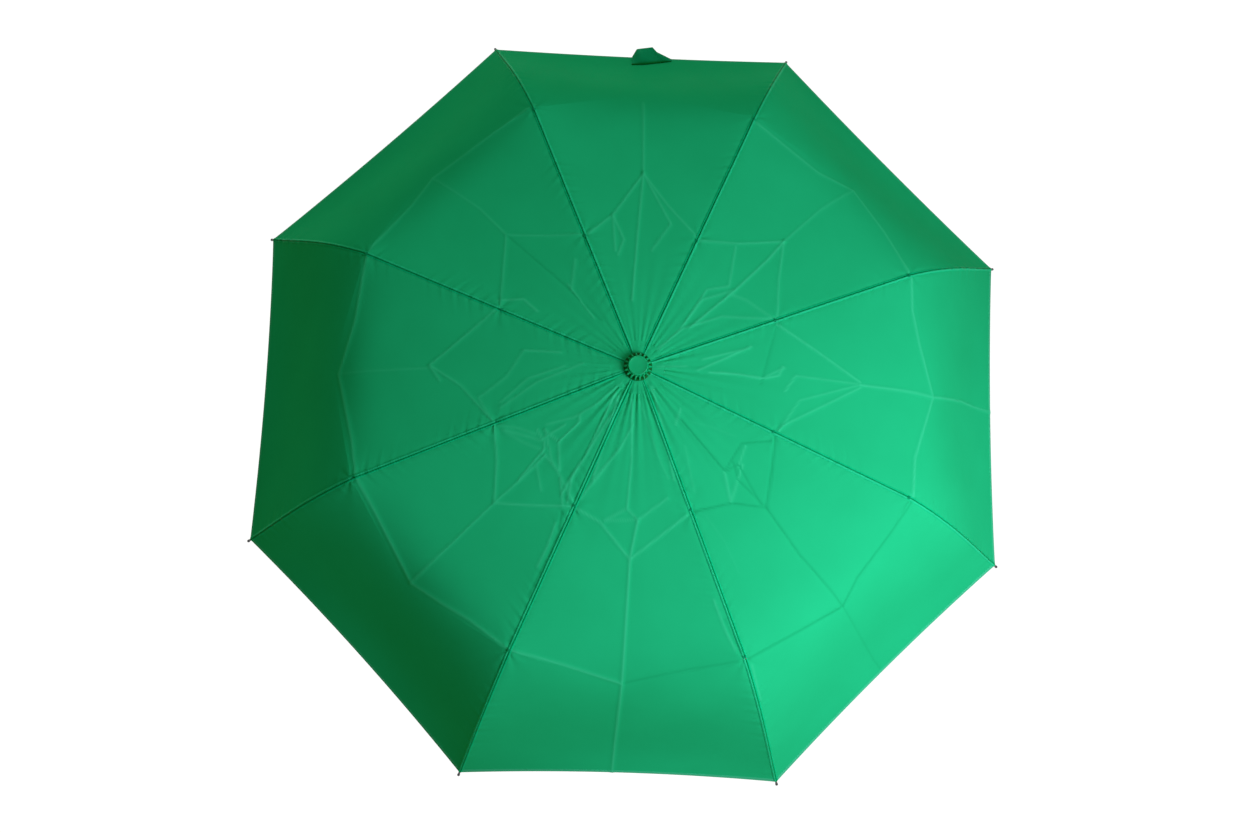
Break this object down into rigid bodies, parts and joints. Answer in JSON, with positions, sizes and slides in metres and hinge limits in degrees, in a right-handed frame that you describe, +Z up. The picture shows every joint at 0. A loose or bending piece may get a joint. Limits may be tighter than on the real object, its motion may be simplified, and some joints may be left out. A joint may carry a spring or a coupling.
{
  "type": "compact folding umbrella",
  "caption": "Open compact folding umbrella with telescoping shaft, hinged folding ribs, sliding runner, fluted crown cap and taut green canopy.",
  "frame": {"origin": "centre of the flat end face of the handle", "axes": "+Z up the shaft from the handle to the crown; the canopy opens round +Z; the tie strap is on the +Y gore"},
  "size_m": [0.904, 0.9077, 0.565],
  "materials": {
    "grip_plastic": "soft satin moulding",
    "end_plastic": "satin moulding",
    "tube_metal": "bright plated tube",
    "latch_metal": "plain steel",
    "hub_plastic": "black moulding",
    "button_plastic": "black moulding",
    "ring_metal": "plain steel wire",
    "cap_plastic": "glossy green moulding",
    "disc_plastic": "satin green moulding",
    "rib_metal": "black lacquered steel",
    "tail_metal": "black lacquered spring wire",
    "cloth": "plain-weave polyester with a soft sheen",
    "strap_cloth": "plain-weave polyester",
    "hook_patch": "hook-and-loop patch"
  },
  "bodies": {
    "handle": {"handle_grip": "grip_plastic", "handle_end_cap": "end_plastic", "handle_pin": "latch_metal", "lower_tube": "tube_metal"},
    "middle_shaft": {"middle_tube": "tube_metal"},
    "upper_shaft": {"upper_tube": "tube_metal", "top_notch": "hub_plastic", "notch_wire": "ring_metal", "crown_cap": "cap_plastic", "cap_disc": "disc_plastic", "canopy": "cloth", "tie_strap": "strap_cloth", "strap_fastener": "hook_patch"},
    "lower_latch": {"lower_catch": "latch_metal"},
    "middle_latch": {"middle_catch": "latch_metal"},
    "runner_unit": {"runner": "hub_plastic"},
    "runner_latch": {"runner_button": "button_plastic"},
    "top_arm_1": {"top_rib_1": "rib_metal"},
    "stretcher_arm_1": {"stretcher_1": "rib_metal"},
    "link_arm_1": {"link_rod_1": "rib_metal"},
    "middle_arm_1": {"middle_rib_1": "rib_metal"},
    "tail_arm_1": {"tail_rib_1": "tail_metal"},
    "top_arm_2": {"top_rib_2": "rib_metal"},
    "stretcher_arm_2": {"stretcher_2": "rib_metal"},
    "link_arm_2": {"link_rod_2": "rib_metal"},
    "middle_arm_2": {"middle_rib_2": "rib_metal"},
    "tail_arm_2": {"tail_rib_2": "tail_metal"},
    "top_arm_3": {"top_rib_3": "rib_metal"},
    "stretcher_arm_3": {"stretcher_3": "rib_metal"},
    "link_arm_3": {"link_rod_3": "rib_metal"},
    "middle_arm_3": {"middle_rib_3": "rib_metal"},
    "tail_arm_3": {"tail_rib_3": "tail_metal"},
    "top_arm_4": {"top_rib_4": "rib_metal"},
    "stretcher_arm_4": {"stretcher_4": "rib_metal"},
    "link_arm_4": {"link_rod_4": "rib_metal"},
    "middle_arm_4": {"middle_rib_4": "rib_metal"},
    "tail_arm_4": {"tail_rib_4": "tail_metal"},
    "top_arm_5": {"top_rib_5": "rib_metal"},
    "stretcher_arm_5": {"stretcher_5": "rib_metal"},
    "link_arm_5": {"link_rod_5": "rib_metal"},
    "middle_arm_5": {"middle_rib_5": "rib_metal"},
    "tail_arm_5": {"tail_rib_5": "tail_metal"},
    "top_arm_6": {"top_rib_6": "rib_metal"},
    "stretcher_arm_6": {"stretcher_6": "rib_metal"},
    "link_arm_6": {"link_rod_6": "rib_metal"},
    "middle_arm_6": {"middle_rib_6": "rib_metal"},
    "tail_arm_6": {"tail_rib_6": "tail_metal"},
    "top_arm_7": {"top_rib_7": "rib_metal"},
    "stretcher_arm_7": {"stretcher_7": "rib_metal"},
    "link_arm_7": {"link_rod_7": "rib_metal"},
    "middle_arm_7": {"middle_rib_7": "rib_metal"},
    "tail_arm_7": {"tail_rib_7": "tail_metal"},
    "top_arm_8": {"top_rib_8": "rib_metal"},
    "stretcher_arm_8": {"stretcher_8": "rib_metal"},
    "link_arm_8": {"link_rod_8": "rib_metal"},
    "middle_arm_8": {"middle_rib_8": "rib_metal"},
    "tail_arm_8": {"tail_rib_8": "tail_metal"}
  },
  "joints": [
    {"name": "middle_slide", "type": "slide", "parent": "handle", "child": "middle_shaft", "axis": [0, 0, -1], "range_m": [0, 0.14]},
    {"name": "upper_slide", "type": "slide", "parent": "middle_shaft", "child": "upper_shaft", "axis": [0, 0, -1], "range_m": [0, 0.14]},
    {"name": "lower_catch_press", "type": "slide", "parent": "handle", "child": "lower_latch", "axis": [1, 0, 0], "range_m": [-0.0015, 0], "stiffness_N_per_m": 400, "springref_m": -0.0015},
    {"name": "middle_catch_press", "type": "slide", "parent": "middle_shaft", "child": "middle_latch", "axis": [1, 0, 0], "range_m": [-0.0015, 0], "stiffness_N_per_m": 400, "springref_m": -0.0015},
    {"name": "runner_slide", "type": "slide", "parent": "upper_shaft", "child": "runner_unit", "axis": [0, 0, -1], "range_m": [0, 0.13457], "deforming": ["canopy", "tie_strap", "strap_fastener"]},
    {"name": "runner_button_press", "type": "hinge", "parent": "runner_unit", "child": "runner_latch", "pos_m": [0.0082, 0, 0.47507], "axis": [0, 1, 0], "range_deg": [-10, 0], "stiffness_Nm_per_rad": 0.02, "springref_deg": -10},
    {"name": "crown_hinge_1", "type": "hinge", "parent": "upper_shaft", "child": "top_arm_1", "pos_m": [0.00878, 0.00364, 0.549], "axis": [-0.3827, 0.9239, 0], "range_deg": [0, 82.79]},
    {"name": "stretcher_hinge_1", "type": "hinge", "parent": "top_arm_1", "child": "stretcher_arm_1", "pos_m": [0.0931, 0.03856, 0.53743], "axis": [0.3827, -0.9239, 0], "range_deg": [0, 144.15]},
    {"name": "link_hinge_1", "type": "hinge", "parent": "stretcher_arm_1", "child": "link_arm_1", "pos_m": [0.08337, 0.03453, 0.53168], "axis": [-0.3827, 0.9239, 0], "range_deg": [0, 147.73]},
    {"name": "knee_hinge_1", "type": "hinge", "parent": "top_arm_1", "child": "middle_arm_1", "pos_m": [0.15244, 0.06314, 0.531], "axis": [0.3827, -0.9239, 0], "range_deg": [0, 177.73]},
    {"name": "elbow_hinge_1", "type": "hinge", "parent": "middle_arm_1", "child": "tail_arm_1", "pos_m": [0.30617, 0.12682, 0.5073], "axis": [-0.3827, 0.9239, 0], "range_deg": [0, 139.86]},
    {"name": "crown_hinge_2", "type": "hinge", "parent": "upper_shaft", "child": "top_arm_2", "pos_m": [0.00364, 0.00878, 0.549], "axis": [-0.9239, 0.3827, 0], "range_deg": [0, 82.79]},
    {"name": "stretcher_hinge_2", "type": "hinge", "parent": "top_arm_2", "child": "stretcher_arm_2", "pos_m": [0.03856, 0.0931, 0.53743], "axis": [0.9239, -0.3827, 0], "range_deg": [0, 144.15]},
    {"name": "link_hinge_2", "type": "hinge", "parent": "stretcher_arm_2", "child": "link_arm_2", "pos_m": [0.03453, 0.08337, 0.53168], "axis": [-0.9239, 0.3827, 0], "range_deg": [0, 147.73]},
    {"name": "knee_hinge_2", "type": "hinge", "parent": "top_arm_2", "child": "middle_arm_2", "pos_m": [0.06314, 0.15244, 0.531], "axis": [0.9239, -0.3827, 0], "range_deg": [0, 177.73]},
    {"name": "elbow_hinge_2", "type": "hinge", "parent": "middle_arm_2", "child": "tail_arm_2", "pos_m": [0.12682, 0.30617, 0.5073], "axis": [-0.9239, 0.3827, 0], "range_deg": [0, 139.86]},
    {"name": "crown_hinge_3", "type": "hinge", "parent": "upper_shaft", "child": "top_arm_3", "pos_m": [-0.00364, 0.00878, 0.549], "axis": [-0.9239, -0.3827, 0], "range_deg": [0, 82.79]},
    {"name": "stretcher_hinge_3", "type": "hinge", "parent": "top_arm_3", "child": "stretcher_arm_3", "pos_m": [-0.03856, 0.0931, 0.53743], "axis": [0.9239, 0.3827, 0], "range_deg": [0, 144.15]},
    {"name": "link_hinge_3", "type": "hinge", "parent": "stretcher_arm_3", "child": "link_arm_3", "pos_m": [-0.03453, 0.08337, 0.53168], "axis": [-0.9239, -0.3827, 0], "range_deg": [0, 147.73]},
    {"name": "knee_hinge_3", "type": "hinge", "parent": "top_arm_3", "child": "middle_arm_3", "pos_m": [-0.06314, 0.15244, 0.531], "axis": [0.9239, 0.3827, 0], "range_deg": [0, 177.73]},
    {"name": "elbow_hinge_3", "type": "hinge", "parent": "middle_arm_3", "child": "tail_arm_3", "pos_m": [-0.12682, 0.30617, 0.5073], "axis": [-0.9239, -0.3827, 0], "range_deg": [0, 139.86]},
    {"name": "crown_hinge_4", "type": "hinge", "parent": "upper_shaft", "child": "top_arm_4", "pos_m": [-0.00878, 0.00364, 0.549], "axis": [-0.3827, -0.9239, 0], "range_deg": [0, 82.79]},
    {"name": "stretcher_hinge_4", "type": "hinge", "parent": "top_arm_4", "child": "stretcher_arm_4", "pos_m": [-0.0931, 0.03856, 0.53743], "axis": [0.3827, 0.9239, 0], "range_deg": [0, 144.15]},
    {"name": "link_hinge_4", "type": "hinge", "parent": "stretcher_arm_4", "child": "link_arm_4", "pos_m": [-0.08337, 0.03453, 0.53168], "axis": [-0.3827, -0.9239, 0], "range_deg": [0, 147.73]},
    {"name": "knee_hinge_4", "type": "hinge", "parent": "top_arm_4", "child": "middle_arm_4", "pos_m": [-0.15244, 0.06314, 0.531], "axis": [0.3827, 0.9239, 0], "range_deg": [0, 177.73]},
    {"name": "elbow_hinge_4", "type": "hinge", "parent": "middle_arm_4", "child": "tail_arm_4", "pos_m": [-0.30617, 0.12682, 0.5073], "axis": [-0.3827, -0.9239, 0], "range_deg": [0, 139.86]},
    {"name": "crown_hinge_5", "type": "hinge", "parent": "upper_shaft", "child": "top_arm_5", "pos_m": [-0.00878, -0.00364, 0.549], "axis": [0.3827, -0.9239, 0], "range_deg": [0, 82.79]},
    {"name": "stretcher_hinge_5", "type": "hinge", "parent": "top_arm_5", "child": "stretcher_arm_5", "pos_m": [-0.0931, -0.03856, 0.53743], "axis": [-0.3827, 0.9239, 0], "range_deg": [0, 144.15]},
    {"name": "link_hinge_5", "type": "hinge", "parent": "stretcher_arm_5", "child": "link_arm_5", "pos_m": [-0.08337, -0.03453, 0.53168], "axis": [0.3827, -0.9239, 0], "range_deg": [0, 147.73]},
    {"name": "knee_hinge_5", "type": "hinge", "parent": "top_arm_5", "child": "middle_arm_5", "pos_m": [-0.15244, -0.06314, 0.531], "axis": [-0.3827, 0.9239, 0], "range_deg": [0, 177.73]},
    {"name": "elbow_hinge_5", "type": "hinge", "parent": "middle_arm_5", "child": "tail_arm_5", "pos_m": [-0.30617, -0.12682, 0.5073], "axis": [0.3827, -0.9239, 0], "range_deg": [0, 139.86]},
    {"name": "crown_hinge_6", "type": "hinge", "parent": "upper_shaft", "child": "top_arm_6", "pos_m": [-0.00364, -0.00878, 0.549], "axis": [0.9239, -0.3827, 0], "range_deg": [0, 82.79]},
    {"name": "stretcher_hinge_6", "type": "hinge", "parent": "top_arm_6", "child": "stretcher_arm_6", "pos_m": [-0.03856, -0.0931, 0.53743], "axis": [-0.9239, 0.3827, 0], "range_deg": [0, 144.15]},
    {"name": "link_hinge_6", "type": "hinge", "parent": "stretcher_arm_6", "child": "link_arm_6", "pos_m": [-0.03453, -0.08337, 0.53168], "axis": [0.9239, -0.3827, 0], "range_deg": [0, 147.73]},
    {"name": "knee_hinge_6", "type": "hinge", "parent": "top_arm_6", "child": "middle_arm_6", "pos_m": [-0.06314, -0.15244, 0.531], "axis": [-0.9239, 0.3827, 0], "range_deg": [0, 177.73]},
    {"name": "elbow_hinge_6", "type": "hinge", "parent": "middle_arm_6", "child": "tail_arm_6", "pos_m": [-0.12682, -0.30617, 0.5073], "axis": [0.9239, -0.3827, 0], "range_deg": [0, 139.86]},
    {"name": "crown_hinge_7", "type": "hinge", "parent": "upper_shaft", "child": "top_arm_7", "pos_m": [0.00364, -0.00878, 0.549], "axis": [0.9239, 0.3827, 0], "range_deg": [0, 82.79]},
    {"name": "stretcher_hinge_7", "type": "hinge", "parent": "top_arm_7", "child": "stretcher_arm_7", "pos_m": [0.03856, -0.0931, 0.53743], "axis": [-0.9239, -0.3827, 0], "range_deg": [0, 144.15]},
    {"name": "link_hinge_7", "type": "hinge", "parent": "stretcher_arm_7", "child": "link_arm_7", "pos_m": [0.03453, -0.08337, 0.53168], "axis": [0.9239, 0.3827, 0], "range_deg": [0, 147.73]},
    {"name": "knee_hinge_7", "type": "hinge", "parent": "top_arm_7", "child": "middle_arm_7", "pos_m": [0.06314, -0.15244, 0.531], "axis": [-0.9239, -0.3827, 0], "range_deg": [0, 177.73]},
    {"name": "elbow_hinge_7", "type": "hinge", "parent": "middle_arm_7", "child": "tail_arm_7", "pos_m": [0.12682, -0.30617, 0.5073], "axis": [0.9239, 0.3827, 0], "range_deg": [0, 139.86]},
    {"name": "crown_hinge_8", "type": "hinge", "parent": "upper_shaft", "child": "top_arm_8", "pos_m": [0.00878, -0.00364, 0.549], "axis": [0.3827, 0.9239, 0], "range_deg": [0, 82.79]},
    {"name": "stretcher_hinge_8", "type": "hinge", "parent": "top_arm_8", "child": "stretcher_arm_8", "pos_m": [0.0931, -0.03856, 0.53743], "axis": [-0.3827, -0.9239, 0], "range_deg": [0, 144.15]},
    {"name": "link_hinge_8", "type": "hinge", "parent": "stretcher_arm_8", "child": "link_arm_8", "pos_m": [0.08337, -0.03453, 0.53168], "axis": [0.3827, 0.9239, 0], "range_deg": [0, 147.73]},
    {"name": "knee_hinge_8", "type": "hinge", "parent": "top_arm_8", "child": "middle_arm_8", "pos_m": [0.15244, -0.06314, 0.531], "axis": [-0.3827, -0.9239, 0], "range_deg": [0, 177.73]},
    {"name": "elbow_hinge_8", "type": "hinge", "parent": "middle_arm_8", "child": "tail_arm_8", "pos_m": [0.30617, -0.12682, 0.5073], "axis": [0.3827, 0.9239, 0], "range_deg": [0, 139.86]}
  ],
  "couplings": [
    {"joint": "crown_hinge_1", "follows": "runner_slide", "rad_per_m": 10.736},
    {"joint": "stretcher_hinge_1", "follows": "runner_slide", "rad_per_m": 18.693},
    {"joint": "link_hinge_1", "follows": "runner_slide", "rad_per_m": 19.158},
    {"joint": "knee_hinge_1", "follows": "runner_slide", "rad_per_m": 23.049},
    {"joint": "elbow_hinge_1", "follows": "runner_slide", "rad_per_m": 18.137},
    {"joint": "crown_hinge_2", "follows": "runner_slide", "rad_per_m": 10.736},
    {"joint": "stretcher_hinge_2", "follows": "runner_slide", "rad_per_m": 18.693},
    {"joint": "link_hinge_2", "follows": "runner_slide", "rad_per_m": 19.158},
    {"joint": "knee_hinge_2", "follows": "runner_slide", "rad_per_m": 23.049},
    {"joint": "elbow_hinge_2", "follows": "runner_slide", "rad_per_m": 18.137},
    {"joint": "crown_hinge_3", "follows": "runner_slide", "rad_per_m": 10.736},
    {"joint": "stretcher_hinge_3", "follows": "runner_slide", "rad_per_m": 18.693},
    {"joint": "link_hinge_3", "follows": "runner_slide", "rad_per_m": 19.158},
    {"joint": "knee_hinge_3", "follows": "runner_slide", "rad_per_m": 23.049},
    {"joint": "elbow_hinge_3", "follows": "runner_slide", "rad_per_m": 18.137},
    {"joint": "crown_hinge_4", "follows": "runner_slide", "rad_per_m": 10.736},
    {"joint": "stretcher_hinge_4", "follows": "runner_slide", "rad_per_m": 18.693},
    {"joint": "link_hinge_4", "follows": "runner_slide", "rad_per_m": 19.158},
    {"joint": "knee_hinge_4", "follows": "runner_slide", "rad_per_m": 23.049},
    {"joint": "elbow_hinge_4", "follows": "runner_slide", "rad_per_m": 18.137},
    {"joint": "crown_hinge_5", "follows": "runner_slide", "rad_per_m": 10.736},
    {"joint": "stretcher_hinge_5", "follows": "runner_slide", "rad_per_m": 18.693},
    {"joint": "link_hinge_5", "follows": "runner_slide", "rad_per_m": 19.158},
    {"joint": "knee_hinge_5", "follows": "runner_slide", "rad_per_m": 23.049},
    {"joint": "elbow_hinge_5", "follows": "runner_slide", "rad_per_m": 18.137},
    {"joint": "crown_hinge_6", "follows": "runner_slide", "rad_per_m": 10.736},
    {"joint": "stretcher_hinge_6", "follows": "runner_slide", "rad_per_m": 18.693},
    {"joint": "link_hinge_6", "follows": "runner_slide", "rad_per_m": 19.158},
    {"joint": "knee_hinge_6", "follows": "runner_slide", "rad_per_m": 23.049},
    {"joint": "elbow_hinge_6", "follows": "runner_slide", "rad_per_m": 18.137},
    {"joint": "crown_hinge_7", "follows": "runner_slide", "rad_per_m": 10.736},
    {"joint": "stretcher_hinge_7", "follows": "runner_slide", "rad_per_m": 18.693},
    {"joint": "link_hinge_7", "follows": "runner_slide", "rad_per_m": 19.158},
    {"joint": "knee_hinge_7", "follows": "runner_slide", "rad_per_m": 23.049},
    {"joint": "elbow_hinge_7", "follows": "runner_slide", "rad_per_m": 18.137},
    {"joint": "crown_hinge_8", "follows": "runner_slide", "rad_per_m": 10.736},
    {"joint": "stretcher_hinge_8", "follows": "runner_slide", "rad_per_m": 18.693},
    {"joint": "link_hinge_8", "follows": "runner_slide", "rad_per_m": 19.158},
    {"joint": "knee_hinge_8", "follows": "runner_slide", "rad_per_m": 23.049},
    {"joint": "elbow_hinge_8", "follows": "runner_slide", "rad_per_m": 18.137}
  ]
}
